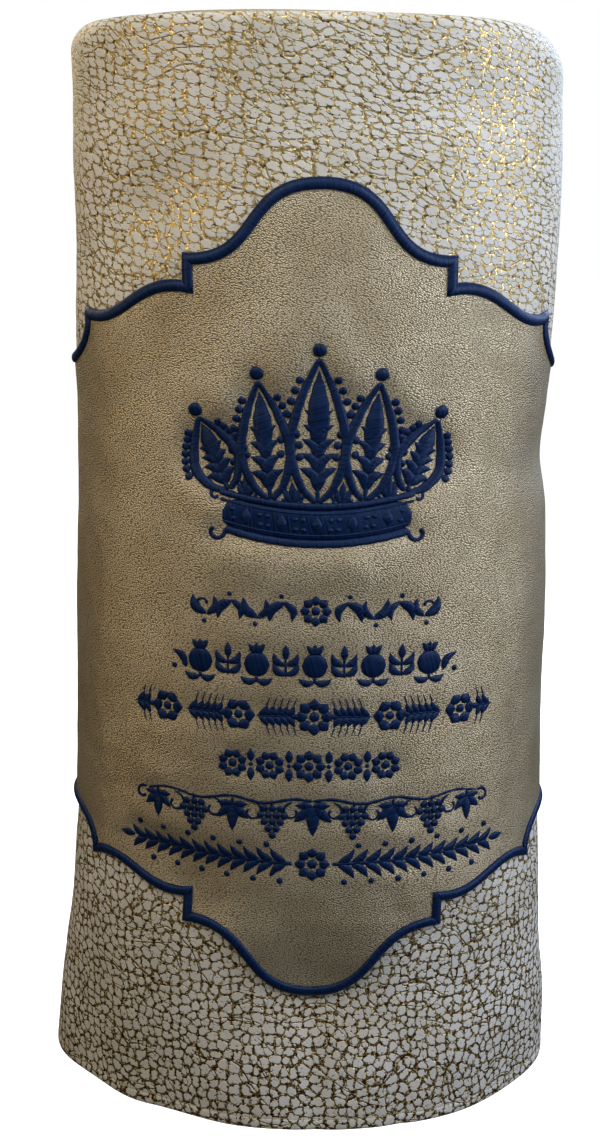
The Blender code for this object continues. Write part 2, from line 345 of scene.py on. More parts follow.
crackle = {  # lengths and heights in mm
    "cell": 7.4,  # between the middles of neighbouring islands
    "lobe": 5.3,  # the same of an island's lobes
    "spread": {"cell": 0.82, "lobe": 0.9},  # how uneven each of these nets is
    "vein": (0.28, 0.68),  # least and most half width
    "notch": (0.9, -0.5),  # half width where it leaves a vein, and where it has closed
    "notchStart": 0.8,  # how far from the vein it begins to close
    "notchEnd": 0.46,  # the same where it has closed, as a share of the cell
    "looser": 0.1,  # what notches gain or lose from place to place
    "hemVein": 0.4,  # added at the hem, and nothing from this height up
    "hemVeinTop": 230.0,
    "drift": 5.0,  # how far the net is drawn about: slowly, more finely, and along an island's edge
    "bend": 1.0,
    "wobble": 1.2,
    "lean": 0.34,  # slope of the drawn-out islands at the top, from level at the lower height
    "leanHeights": (220.0, 760.0),
    "creaseLength": 60.0,
    "creaseWidth": 14.5,  # from one crease to the next
    "creaseSlant": -20.0,  # degrees
    "creaseHeights": (380.0, 600.0),
    "creaseShut": (2.0, 0.5),  # how tightly a crease is shut where it has faded, at those heights
    "creaseOpen": -0.5,  # the same where it is open: half its width, below 0
    "wander": {"drift": 44.0, "loose": 3.5},  # how far the creases are drawn about
    "fade": (0.38, 0.54),  # noise at which a crease starts to open, and is open
    "relief": 0.5,  # from a vein's floor to an island's top
    "island": "#C6C7C4",
    "islandShade": "#B7B7B0",
    "gold": "#AD9C6C",
    # Painted highlight: bright gold laid on the veins in patches.
    "paintedGlintGold": "#FBE7B0",
    # Dark brown for real dirt in the veins and for painted shade in them.
    "goldDirtAndShade": "#3F2B12",
    "hemPaintedShade": 0.55,  # painted shade: how much darker the veins are near the hem, where the light falls off
    "hemPaintedShadeHeights": (40.0, 420.0),
    "noises": {  # size and detail
        "drift": (50.0, 0.0), "bend": (7.0, 0.0), "wobble": (3.0, 0.0), "width": (5.2, 0.0),
        "loose": (10.0, 1.0), "stain": (60.0, 3.0), "dirt": (3.1, 2.0), "paintedGlintSpots": (1.9, 2.0),
        "pores": (0.9, 2.0),
    },
}


def makeCrackledLeather():
    # Cowhide whose matte off-white finish was laid over gold foil, then milled until it cracked into islands:
    # dull pale plates, and metallic gold that glints where a vein's side faces the light. Its colour also
    # holds painted highlights on the gold and painted shade in the veins.
    finish, tree, shader, place = newMaterial("crackled_foil_leather", {"Specular IOR Level": 0.2})
    noises = {name: addNode(tree, "TexNoise", {"Vector": place, "Scale": 1 / size, "Detail": detail},
                            noise_dimensions="2D") for name, (size, detail) in crackle["noises"].items()}
    x, height, _ = addNode(tree, "SeparateXYZ", {0: place}).outputs

    # Towards the top the islands lie drawn out along the hide's stretch, which falls to the right.
    leaning = addNode(tree, "MapRange", (height, *crackle["leanHeights"], 0.0, crackle["lean"]))
    squeezed = addNode(tree, "Math", (leaning, 0.5, 1.0), operation="MULTIPLY_ADD")
    fallen = addNode(tree, "Math", (x, leaning), operation="MULTIPLY")
    across = addNode(tree, "Math", (height, squeezed, fallen), operation="MULTIPLY_ADD")
    stretched = addNode(tree, "Math", (leaning, -0.5, 1.0), operation="MULTIPLY_ADD")
    along = addNode(tree, "Math", (x, stretched), operation="MULTIPLY")
    drawn = addNode(tree, "CombineXYZ", (along, across))
    drawn = drawAbout(tree, drawn, [(noises[name], crackle[name]) for name in ("drift", "bend", "wobble")])

    # Nets of veins, as mm outside them: coarse cells, and lobes whose veins only notch the cells' edges.
    edges = {}
    for net, spread in crackle["spread"].items():
        size = crackle[net]
        sharp, melted = (addNode(tree, "TexVoronoi", {
            "Vector": drawn, "Scale": 1 / size, "Randomness": spread},
            voronoi_dimensions="2D", feature=feature) for feature in ("F1", "SMOOTH_F1"))
        melted.inputs["Smoothness"].default_value = 1.0
        merging = addNode(tree, "Math", (sharp, melted), operation="SUBTRACT")
        # 1 between two cells, and more where three meet
        share = addNode(tree, "Math", (merging, 8.0), operation="MULTIPLY")
        root = addNode(tree, "Math", (share, 0.5), operation="POWER")
        edges[net] = addNode(tree, "MapRange", (root, 0.0, 1.0, 0.5 * size, 0.0), clamp=False)
    vein = addNode(tree, "MapRange", (noises["width"], 0.3, 0.7, *crackle["vein"]))
    hem = addNode(tree, "MapRange", (height, 0.0, crackle["hemVeinTop"], crackle["hemVein"], 0.0))
    notch = addNode(tree, "MapRange", (
        edges["cell"], crackle["notchStart"], crackle["notchEnd"] * crackle["cell"], *crackle["notch"]))
    loosened = addNode(tree, "MapRange", (noises["loose"], 0.35, 0.65, -crackle["looser"], crackle["looser"]))
    cellOpen, lobeOpen = edges["cell"], edges["lobe"]
    for taken in (vein, hem):
        cellOpen = addNode(tree, "Math", (cellOpen, taken), operation="SUBTRACT")
    for taken in (notch, loosened):
        lobeOpen = addNode(tree, "Math", (lobeOpen, taken), operation="SUBTRACT")

    # Long creases side by side along the hide's stretch, each open over a part of its length.
    wandering = drawAbout(tree, place, [(noises[name], amount) for name, amount in crackle["wander"].items()])
    turned = addNode(tree, "Mapping", {
        "Vector": wandering, "Rotation": (0, 0, math.radians(crackle["creaseSlant"])),
        "Scale": (crackle["creaseLength"], crackle["creaseWidth"], 1)}, vector_type="TEXTURE")
    beside = addNode(tree, "SeparateXYZ", {0: turned}).outputs["Y"]
    fromCrease = addNode(tree, "Math", (beside, 0.5), operation="PINGPONG")
    fading = addNode(tree, "TexNoise", {"Vector": turned, "Scale": 1.2, "Detail": 0.0}, noise_dimensions="2D")
    shut = addNode(tree, "MapRange", (height, *crackle["creaseHeights"], *crackle["creaseShut"]))
    away = addNode(tree, "MapRange", (fading, *crackle["fade"], shut, crackle["creaseOpen"]))
    creaseOpen = addNode(tree, "Math", (fromCrease, crackle["creaseWidth"], away), operation="MULTIPLY_ADD")
    gaping = addNode(tree, "MapRange", (creaseOpen, 0.9, 0.1, 0.0, 0.15))  # the veins along a crease gape
    cellOpen = addNode(tree, "Math", (cellOpen, gaping), operation="SUBTRACT")
    depth = cellOpen
    for other in (lobeOpen, creaseOpen):
        depth = addNode(tree, "Math", (depth, other), operation="MINIMUM")  # mm, below 0 in a vein

    island = addNode(tree, "MapRange", (depth, -0.22, 0.22), interpolation_type="SMOOTHSTEP")
    stained = addNode(tree, "MapRange", (noises["stain"], 0.35, 0.65))
    plate = addNode(tree, "Mix", {0: stained, 6: crackle["islandShade"], 7: crackle["island"]},
                    data_type="RGBA")
    # Painted shade in the veins: darker where a vein is deep, inside open creases and towards the hem; the
    # noise among them is real dirt.
    paintedVeinShade = addNode(tree, "MapRange", (depth, -0.4, -1.6, 0.0, 0.45))
    dirty = addNode(tree, "MapRange", (noises["dirt"], 0.5, 0.68, 0.0, 0.7))
    shadowed = addNode(tree, "MapRange", (creaseOpen, 0.4, -0.2, 0.0, 0.2))
    dirtAndShade = addNode(tree, "MapRange", (height, *crackle["hemPaintedShadeHeights"], crackle["hemPaintedShade"], 0.0))
    for added in (paintedVeinShade, dirty, shadowed):
        dirtAndShade = addNode(tree, "Math", (dirtAndShade, added), operation="ADD", use_clamp=True)
    foil = addNode(tree, "Mix", {0: dirtAndShade, 6: crackle["gold"], 7: crackle["goldDirtAndShade"]}, data_type="RGBA")
    # Painted highlight: brighter gold in random patches, on top of the real glints of the metallic veins.
    paintedGlintMask = addNode(tree, "MapRange", (noises["paintedGlintSpots"], 0.55, 0.72))
    goldWithPaintedGlints = addNode(tree, "Mix", {0: paintedGlintMask, 6: foil.outputs[2], 7: crackle["paintedGlintGold"]},
                      data_type="RGBA")
    colour = addNode(tree, "Mix", {0: island, 6: goldWithPaintedGlints.outputs[2], 7: plate.outputs[2]}, data_type="RGBA")
    metal = addNode(tree, "MapRange", (island, 0.0, 1.0, 0.6, 0.0))
    rough = addNode(tree, "MapRange", (island, 0.0, 1.0, 0.45, 0.62))
    plump = addNode(tree, "MapRange", (depth, -0.55, 0.6), interpolation_type="SMOOTHSTEP")
    relief = addNode(tree, "Math", (noises["pores"], 0.08, plump), operation="MULTIPLY_ADD")
    bump = addNode(tree, "Bump", {"Height": relief, "Distance": crackle["relief"] * mm})
    setInputs(tree, shader, {
        "Base Color": colour.outputs[2], "Metallic": metal, "Roughness": rough, "Normal": bump})
    return finish


suedeNap = {"nap": 1.1, "mottle": 25.0, "relief": 0.3, "dark": "#8F7B5E", "light": "#A8957A"}  # sizes in mm


def makeSuede():
    # The hide's flesh side: short brushed nap, dull, a little mottled.
    finish, tree, shader, place = newMaterial("buff_suede", {
        "Roughness": 0.95, "Sheen Weight": 0.3, "Sheen Roughness": 0.5})
    nap, mottle = (addNode(tree, "TexNoise", {"Vector": place, "Scale": 1 / suedeNap[size], "Detail": 3.0},
                           noise_dimensions="2D") for size in ("nap", "mottle"))
    patchy = addNode(tree, "MapRange", (mottle, 0.3, 0.7))
    colour = addNode(tree, "Mix", {0: patchy, 6: suedeNap["dark"], 7: suedeNap["light"]}, data_type="RGBA")
    bump = addNode(tree, "Bump", {"Height": nap, "Strength": 0.6, "Distance": suedeNap["relief"] * mm})
    setInputs(tree, shader, {"Base Color": colour.outputs[2], "Normal": bump})
    return finish


champagne = {
    "grainLength": 1.65,  # mm from pebble to pebble
    "grainWidth": 0.92,
    "grainSlant": -18.0,  # degrees
    "moves": (5.0, 0.5),  # mm that the grain is drawn about, slowly and finely
    "noises": ((26.0, 1.0), (2.2, 0.0), (45.0, 3.0)),  # size and detail of these two, and of the stains
    "relief": 0.3,
    # Painted shade: the colour of the valleys between the pebbles.
    "crease": "#786D53",
    "base": "#A89C82",
    "worn": "#BBB29B",
}


def makeChampagneLeather():
    # Pebble-embossed hide under a pearled metallic coat: half metal, half leather, bright on the pebbles,
    # with painted shade in the valleys between them.
    finish, tree, shader, place = newMaterial("champagne_pearl_leather", {
        "Metallic": 0.68, "Specular IOR Level": 0.5})
    drift, wobble, stain = (addNode(tree, "TexNoise", {"Vector": place, "Scale": 1 / size, "Detail": detail},
                                    noise_dimensions="2D") for size, detail in champagne["noises"])
    drawn = drawAbout(tree, place, zip((drift, wobble), champagne["moves"]))
    turned = addNode(tree, "Mapping", {
        "Vector": drawn, "Rotation": (0, 0, math.radians(champagne["grainSlant"])),
        "Scale": (champagne["grainLength"], champagne["grainWidth"], 1)}, vector_type="TEXTURE")
    fromPeak = addNode(tree, "TexVoronoi", {"Vector": turned, "Scale": 1.0, "Randomness": 0.8},
                       voronoi_dimensions="2D")
    pebble = addNode(tree, "MapRange", (fromPeak, 0.1, 0.7, 1.0, 0.0))
    stained = addNode(tree, "MapRange", (stain, 0.3, 0.72))
    ridge = addNode(tree, "Mix", {0: stained, 6: champagne["base"], 7: champagne["worn"]}, data_type="RGBA")
    # Painted shade: the valleys between the pebbles take the darker crease colour.
    paintedShadeMix = addNode(tree, "MapRange", (pebble, -0.1, 0.8))
    colour = addNode(tree, "Mix", {0: paintedShadeMix, 6: champagne["crease"], 7: ridge.outputs[2]}, data_type="RGBA")
    rough = addNode(tree, "MapRange", (pebble, 0.0, 1.0, 0.6, 0.34))
    bump = addNode(tree, "Bump", {"Height": pebble, "Distance": champagne["relief"] * mm})
    setInputs(tree, shader, {"Base Color": colour.outputs[2], "Roughness": rough, "Normal": bump})
    return finish


thread = {
    "pitch": 0.85,  # mm between drawn threads, twice the real spacing, which is too fine for the picture
    "slant": 0.25,  # how far they lean from straight across the stroke
    "stray": 0.8,  # mm that they stray, over so many mm
    "strayOver": 4.0,
    "toneOver": 1.3,  # mm of neighbouring threads that share a tone
    "relief": 0.12,
    # The dye's darkest and lightest: the threads' own tones, and painted shade in the grooves between threads.
    "dark": "#01050F",
    "light": "#0A2A5E",
    "edge": "#9CB6EA",  # tint of the gloss at a glancing angle
    "gloss": "#4F86E0",
}


def makeSatinThread():
    # Rayon embroidery thread in satin stitch: long parallel floats with a silky gloss across them.
    finish, tree, shader, place = newMaterial("navy_rayon_satin_stitch", {
        "Roughness": 0.42, "Specular IOR Level": 0.4, "Specular Tint": thread["edge"],
        "Sheen Weight": 0.03, "Sheen Roughness": 0.35, "Sheen Tint": thread["gloss"]})
    x, y, _ = addNode(tree, "SeparateXYZ", {0: place}).outputs
    stray = addNode(tree, "TexNoise", {"Vector": place, "Scale": 1 / thread["strayOver"], "Detail": 1.0},
                    noise_dimensions="2D")
    slanted = addNode(tree, "Math", (y, thread["slant"], x), operation="MULTIPLY_ADD")
    shifted = addNode(tree, "Math", (stray, thread["stray"], slanted), operation="MULTIPLY_ADD")
    turns = addNode(tree, "Math", (shifted, 2 * math.pi / thread["pitch"]), operation="MULTIPLY")
    wave = addNode(tree, "Math", (turns,), operation="SINE")
    rounded = addNode(tree, "MapRange", (wave, -1.0))
    eachThread = addNode(tree, "TexNoise", {"W": shifted, "Scale": 1 / thread["toneOver"], "Detail": 2.0},
                         noise_dimensions="1D")
    dyed = addNode(tree, "MapRange", (eachThread, 0.3, 0.7))
    # Painted shade: the colour darkens in the grooves between threads, over each thread's own dye tone.
    shaded = addNode(tree, "MapRange", (rounded, 0.0, 1.0, 0.45, 1.0))
    tone = addNode(tree, "Math", (dyed, shaded), operation="MULTIPLY")
    colour = addNode(tree, "Mix", {0: tone, 6: thread["dark"], 7: thread["light"]}, data_type="RGBA")
    bump = addNode(tree, "Bump", {"Height": rounded, "Strength": 0.8, "Distance": thread["relief"] * mm})
    setInputs(tree, shader, {"Base Color": colour.outputs[2], "Normal": bump})
    return finish


sewing = {
    "twist": 3.6,  # mm, and a band of the plies is 0.63 of it
    "dark": "#857C62", "light": "#A69C80",
}


def makeSewingThread():
    # Waxed polyester sewing thread, ochre like the foil, its plies showing as fine slanting bands.
    finish, tree, shader, place = newMaterial("ochre_sewing_thread", {"Roughness": 0.5})
    ply = addNode(tree, "TexWave", {"Vector": place, "Scale": 1 / sewing["twist"], "Distortion": 0.5},
                  bands_direction="DIAGONAL")
    colour = addNode(tree, "Mix", {0: ply.outputs["Fac"], 6: sewing["dark"], 7: sewing["light"]},
                     data_type="RGBA")
    setInputs(tree, shader, {"Base Color": colour.outputs[2]})
    return finish


crackledLeather = makeCrackledLeather()
suede = makeSuede()
champagneLeather = makeChampagneLeather()
satinThread = makeSatinThread()
sewingThread = makeSewingThread()
print("materials ready")


# Right half of the centre panel's outline, which the left half mirrors. Each stretch is its start, its handle
# there, the end's handle and its end, in places round the wall and heights.
upperOutline = (
    ((0, 643.3), (50, 643.3), (34.5, 597.5), (82.5, 597.5)),
    ((82.5, 597.5), (82.5, 592), (82.5, 586), (82.5, 580.5)),
    ((82.5, 580.5), (120, 586), (128, 553), (164.5, 560)),
    ((164.5, 560), (164.5, 558), (164.5, 556), (164.5, 553.5)),
    ((164.5, 553.5), (166, 541), (182, 527), (206, 527)),
)
lowerOutline = (
    ((0, 103.4), (50, 103.4), (36, 153), (87.5, 153.2)),
    ((87.5, 153.2), (87.5, 159), (87.5, 165), (87.5, 171.2)),
    ((87.5, 171.2), (122, 165), (132, 197), (166.8, 184.5)),
    ((166.8, 184.5), (166, 197), (178, 211), (206, 211)),
)


def bezier(stretch, t):
    a, b, c, d = (np.array(point, float) for point in stretch)
    t = np.asarray(t)[:, None]
    return (1 - t) ** 3 * a + 3 * (1 - t) ** 2 * t * b + 3 * (1 - t) * t**2 * c + t**3 * d


def isUpright(stretch):
    return stretch[0][0] == stretch[3][0]


embroidery = {
    "rise": 0.5,  # mm over the leather at a narrow stroke's middle, and more at a wide one
    "riseByWidth": 0.13,
    "mostRise": 1.3,
    "layer": 0.35,  # mm that each layer of stitches lies over the one below
    "step": 1.4,  # mm from point to point along a stroke
    "domePoints": 6,
    "bedded": 0.3,  # mm that a stroke's underside lies in the leather
    "ragged": 0.14,  # mm that the stitches' ends waver
    "drawnIn": 1.0,  # mm that close stitches pull the leather in beside them, in a wider hollow, and how far
    "drawnInWide": 10.0,  # it swells again farther off
    "raisedFar": 8.0,
    "reach": (2.6, 8.0, 20.0),  # mm over which each of these three fades
    "rowsDrawIn": 0.3,  # the rows are stitched less tightly than the crown
}
crown = {"foot": 421.0, "sag": 8.0, "halfWidth": 60.0, "band": 24.0, "tipMiddle": 543.0}  # mm, tip above hem


def throughPoints(points, count):
    # Smooth line through a few points, read at even steps, and its length.
    points = np.array(points, float)
    padded = np.concatenate([[2 * points[0] - points[1]], points, [2 * points[-1] - points[-2]]])
    t = np.linspace(0, len(points) - 1 - 1e-9, 20 * len(points))
    k = t.astype(int)
    f = (t - k)[:, None]
    a, b, c, d = (padded[k + n] for n in range(4))
    line = (2 * b + (c - a) * f + (2 * a - 5 * b + 4 * c - d) * f**2 + (3 * b - a - 3 * c + d) * f**3) / 2
    travelled = travel(line)
    at = np.linspace(0, travelled[-1], count)
    return np.column_stack([np.interp(at, travelled, line[:, n]) for n in (0, 1)]), travelled[-1]


def stroke(points, widths, layer=0):
    # Satin stitch along a line of points, with its widths at even shares of the length and round ends.
    length = throughPoints(points, 2)[1]
    count = max(6, round(length / embroidery["step"]) + 1)
    line, length = throughPoints(points, count)
    share = 0.5 - 0.5 * np.cos(np.linspace(0, math.pi, count)) if length < 14 else np.linspace(0, 1, count)
    line = np.column_stack([np.interp(share, np.linspace(0, 1, count), line[:, n]) for n in (0, 1)])
    half = np.interp(share, np.linspace(0, 1, len(widths)), widths) / 2
    fromEnd = np.minimum(share, 1 - share) * length
    radius = np.minimum(np.maximum(half, 1e-3), length / 2)
    half = half * np.sqrt(np.clip(1 - np.clip(1 - fromEnd / radius, 0, 1) ** 2, 0, 1))
    return [(line, half, layer)]


def leaf(root, tip, width, bend=0.0, layer=0):
    # bend is how far the middle lies to the left of the line from root to tip, as a share of its length.
    root, tip = np.array(root, float), np.array(tip, float)
    along = tip - root
    middle = (root + tip) / 2 + bend * np.array((-along[1], along[0]))
    return stroke([root, middle, tip], np.array((0.3, 0.85, 1.1, 1.0, 0.6, 0.0)) * width, layer)


def bead(place, size, layer=0):
    place = np.array(place, float)
    return stroke([place - (size / 2, 0), place + (size / 2, 0)], (size, size), layer)


def spiral(start, middle, turn, width, layer=0):
    # Curl from its start round a middle, narrowing to the inside. turn is in degrees, positive to the left.
    arm = np.array(start, float) - middle
    angles = np.radians(np.linspace(0, turn, 9))
    shrink = np.linspace(1, 0.24, 9)
    points = [np.array(middle) + s * np.array((arm[0] * math.cos(a) - arm[1] * math.sin(a),
                                               arm[0] * math.sin(a) + arm[1] * math.cos(a)))
              for a, s in zip(angles, shrink)]
    return stroke(points, np.array((0.7, 1.0, 0.9, 0.8, 1.1)) * width, layer)


def rosette(middle, radius, petals, eye, turn=0.0):
    middle = np.array(middle, float)
    made = []
    for angle in np.radians(turn + np.arange(petals) * 360 / petals):
        out = np.array((math.cos(angle), math.sin(angle)))
        made += leaf(middle + out * eye * 0.62, middle + out * radius, radius * 5.0 / petals)
    return made + bead(middle, eye, 1)


def mirrored(strokes):
    return strokes + [(line * (-1, 1), half, layer) for line, half, layer in strokes]


def heading(degrees):
    return np.array((math.cos(math.radians(degrees)), math.sin(math.radians(degrees))))


def flame(foot, tip, wide, pairs):
    # Leaf-shaped frame of cord on two curls, with a palm leaf inside, and pearls outside and on its tip.
    foot, tip = np.array(foot, float), np.array(tip, float)
    along = tip - foot
    length = np.linalg.norm(along)
    side = np.array((along[1], -along[0])) / length

    def at(up, out):
        return foot + along * up + side * out

    made = stroke([at(0, 0), at(0.2, 0), at(0.45, 0)], (3.4, 2.4, 1.6))
    made += leaf(at(0.36, 0), at(0.92, 0), wide * 0.72)
    for way in (-1, 1):
        made += stroke([at(0.0, way * 1.0), at(0.13, way * wide * 0.62), at(0.40, way * wide),
                        at(0.70, way * wide * 0.66), at(1.0, 0)], (3.8, 6.0, 7.0, 5.6, 3.0), 1)
        for k in range(pairs):
            root = 0.08 + 0.50 * k / pairs
            out = wide * (0.68 - 0.04 * k)
            made += leaf(at(root, 0), at(root + 0.17, way * out), 6.8 - 0.3 * k, way * 0.22)
        for up, out in ((0.34, 1.06), (0.44, 1.07), (0.53, 1.0), (0.62, 0.88), (0.705, 0.73), (0.78, 0.57),
                        (0.85, 0.41)):
            made += bead(at(up, way * (out * wide + 4.6)), 5.4)
        made += spiral(at(0.0, way * 2.6), at(0.01, way * 7.6), way * -330, 2.8)
    return made + bead(at(1.0, 0) + along / length * 5.0, 9.0, 1)


def crownStrokes():
    # Five flames on a jewelled band: a maker's plain crown.
    foot, wide, band = crown["foot"], crown["halfWidth"], crown["band"]

    def onBand(u, up):
        return np.array((u * (1 + 0.07 * up / band), foot + up + crown["sag"] * (u / wide) ** 2))

    places = np.linspace(-wide, wide, 9)
    made = stroke([onBand(u, band / 2) for u in places * 0.985], (band - 4, band - 4), -1)
    for up, width in ((0.0, 5.2), (band, 4.4), (5.2, 1.8), (band - 4.6, 1.8)):
        made += stroke([onBand(u, up) for u in places], (width, width), 1)
    for u in (0, 22, 44):
        middle = onBand(u, band / 2)
        gem = stroke([middle - (0, 6.4), middle + (0, 6.4)], (0, 8.6, 0), 2)
        made += mirrored(gem) if u else gem
    for u in (8.6, 13.4, 30.6, 35.4, 52.4):
        for up in (-3.2, 3.2):
            made += mirrored(bead(onBand(u, band / 2 + up), 3.8, 2))
    made += flame(onBand(0, band + 2), (0, crown["tipMiddle"] - 4), 18.0, 5)
    for u, tip, reach in ((28, (38.5, 524), 16.0), (54, (77, 500), 15.0)):
        made += mirrored(flame(onBand(u, band + 2), tip, reach, 4))
    made += mirrored(spiral(onBand(wide - 1, 1), onBand(wide + 6, -3), 280, 3.2))
    for u, height in ((14.5, 12.0), (42.0, 11.0)):
        root = onBand(u, band + 1)
        for lean, share in ((0.0, 1.25), (-4.0, 0.85), (4.0, 0.85)):
            made += mirrored(leaf(root, root + (lean + u * 0.06, height * share), 4.6, lean * -0.03))
    return made


def vineRow(middle):
    # Waving vine with a leaf in each bend, either side of a rosette.
    wave, reach, start = 34.0, 5.0, 12.0
    line = [(u, middle + reach * math.sin(2 * math.pi * (u - start) / wave))
            for u in np.arange(start, 73.0, 3.0)]
    made = stroke(line, (2.6, 2.2, 1.8))
    for k, u in enumerate(np.arange(start + wave / 4, 72.0, wave / 2)):
        way = 1 if k % 2 == 0 else -1
        root = (u, middle + way * reach)
        made += leaf(root, (u + 9.5, middle - way * 8.0), 6.2, way * 0.22)
        made += leaf(root, (u - 5.0, middle - way * 7.6), 5.0, way * -0.28)
        made += bead((u + 1.5, middle + way * (reach + 4.6)), 3.4)
    made += spiral((72.0, line[-1][1]), (73.5, middle + 1.5), 300, 2.0)
    return mirrored(made) + rosette((0, middle), 10.5, 8, 6.0)


def pomegranateRow(middle):
    # Pomegranates with their small crowns, and a sprig of leaves in each gap.
    made = []
    for u in (0.0, 38.0, 76.0):
        fruit = bead((u, middle - 1.5), 17.0)
        for way in (-1, 0, 1):
            tip = (u + way * 5.6, middle + 13.6 - abs(way))
            fruit += leaf((u + way * 1.6, middle + 5.5), tip, 4.0, way * 0.1)
        fruit += stroke([(u, middle - 13.4), (u, middle - 9.0)], (2.2, 2.2))
        for way in (-1, 1):
            fruit += leaf((u, middle - 12.4), (u + way * 11.0, middle - 10.2), 4.4, way * -0.2)
            ridge = ((1.9, -6.4), (4.0, -1.4), (1.9, 3.4))
            fruit += stroke([(u + way * out, middle + up) for out, up in ridge], (0.6, 1.4, 0.6), 1)
        made += mirrored(fruit) if u else fruit
    for u in (19.0, 57.0):
        sprig = stroke([(u, middle - 10), (u, middle + 5)], (1.8, 1.6))
        sprig += leaf((u, middle + 2), (u, middle + 13), 4.8)
        for way in (-1, 1):
            for up in (-8.0, -1.5):
                sprig += leaf((u, middle + up), (u + way * 8.2, middle + up + 8.6), 4.6, way * -0.22)
        made += mirrored(sprig)
    last = leaf((86, middle - 8), (96, middle + 4), 5.0, 0.2) + bead((94.0, middle - 7.0), 4.0)
    return made + mirrored(last)


def wheatRow(middle):
    # Ears of wheat lying towards the middle, between rosettes.
    made = rosette((0, middle), 13.0, 8, 7.0)
    for u in (50.0, 100.0):
        made += mirrored(rosette((u, middle), 11.5, 6, 6.0))
    for root, tip in ((38.0, 15.5), (86.0, 64.0), (125.0, 114.0)):
        ear = stroke([(root, middle), (tip, middle)], (1.4, 1.8))
        grains = int((root - tip) / 4.4)
        for k in range(grains):
            u = root - 1.5 - k * 4.4
            for way in (-1, 1):
                ear += leaf((u, middle + way * 0.6), (u - 6.0, middle + way * 7.6), 4.2, way * 0.16)
                ear += stroke([(u - 5.4, middle + way * 7.2), (u - 7.6, middle + way * 13.4)], (1.1, 0.5))
        ear += leaf((tip + 1.0, middle), (tip - 6.0, middle), 4.0)
        made += mirrored(ear)
    return made


def rosetteRow(middle):
    # Eight-petalled flowers with a leaf above and below each gap.
    made = rosette((0, middle), 11.5, 8, 6.5)
    for u in (26.0, 51.0):
        made += mirrored(rosette((u, middle), 10.5, 8, 6.0, 22.5))
    for u in (13.2, 38.6):
        for way in (-1, 1):
            made += mirrored(leaf((u, middle + way * 2.0), (u, middle + way * 11.5), 5.0))
        made += mirrored(bead((u, middle), 3.2))
    return [(line - (3.0, 0.0), half, layer) for line, half, layer in made]


def grapeRow(middle):
    # Bunches of grapes and five-lobed leaves under one long stem, with tendrils.
    made = []
    stem = [(u, middle + 12.5 + 1.8 * math.sin(u / 7.0)) for u in np.arange(0.0, 118.0, 4.0)]
    made += stroke(stem, (2.2, 2.2, 2.0, 1.6))
    for u in (27.0, 81.0):
        made += stroke([(u, middle + 13), (u + 0.6, middle + 8)], (1.8, 1.8))
        for k, count in enumerate((3, 4, 3, 2, 1)):
            for n in range(count):
                made += bead((u + (n - (count - 1) / 2) * 5.3, middle + 6.6 - k * 4.7), 5.4, k % 2)
    for u, size in ((54.0, 1.0), (108.0, 0.9)):
        root = np.array((u, middle + 8.0))
        made += stroke([(u, middle + 13), root], (2.0, 2.0))
        for angle, length, width in ((-90, 19, 7.4), (-42, 15, 6.2), (-138, 15, 6.2), (4, 11, 5.2),
                                     (176, 11, 5.2)):
            out = heading(angle)
            made += leaf(root - out, root + out * length * size, width * size)
    for u in (41.0, 67.5, 95.0):
        made += spiral((u, middle + 12), (u, middle + 4.0), 330, 1.9)
    made += spiral((116.0, stem[-1][1]), (119.5, middle + 6.5), -300, 2.2)
    middleLeaf, root = [], np.array((0.0, middle + 9.0))
    for angle, length, width in ((-90, 21, 8.0), (-42, 17, 6.6), (4, 12, 5.4)):
        lobe = leaf(root, root + heading(angle) * length, width)
        middleLeaf += mirrored(lobe) if angle != -90 else lobe
    curl = spiral((13.5, middle + 12), (13.5, middle + 5.0), -330, 1.9)
    return mirrored(made) + middleLeaf + mirrored(curl)


def oliveRow(middle):
    # Two olive branches that meet at a rosette.
    def level(u):
        return middle + 5.5 * (u / 137) ** 2

    made = stroke([(u, level(u)) for u in np.arange(13.0, 132.0, 7.0)], (2.6, 2.4, 2.2, 1.6))
    for k, u in enumerate(np.arange(17.0, 126.0, 9.2)):
        for way in (-1, 1):
            tip = (u + 11.5, level(u) + way * (11.0 - 0.02 * u))
            made += leaf((u, level(u) + way * 0.6), tip, 5.0, way * -0.14)
        way = 1 if k % 2 else -1
        made += bead((u + 4.6, level(u) + way * 3.6 + way * 9.2), 4.4)
    made += leaf((128.0, level(128)), (140.0, level(140)), 5.2)
    return mirrored(made) + rosette((0, middle), 12.0, 8, 7.0)


# Each row of ornament at the height of its middle.
patterns = {
    "embroideredCrown": crownStrokes(),
    "vineRow": vineRow(377.0),
    "pomegranateRow": pomegranateRow(341.5),
    "wheatRow": wheatRow(305.0),
    "rosetteRow": rosetteRow(270.5),
    "grapeRow": grapeRow(233.0),
    "oliveRow": oliveRow(201.0),
}


def blurred(amounts, size):
    # Gaussian blur of a millimetre grid.
    reach = np.arange(-int(3 * size), int(3 * size) + 1)
    weights = np.exp(-0.5 * (reach / size) ** 2)
    weights /= weights.sum()
    for axis in (0, 1):
        amounts = np.apply_along_axis(np.convolve, axis, amounts, weights, "same")
    return amounts


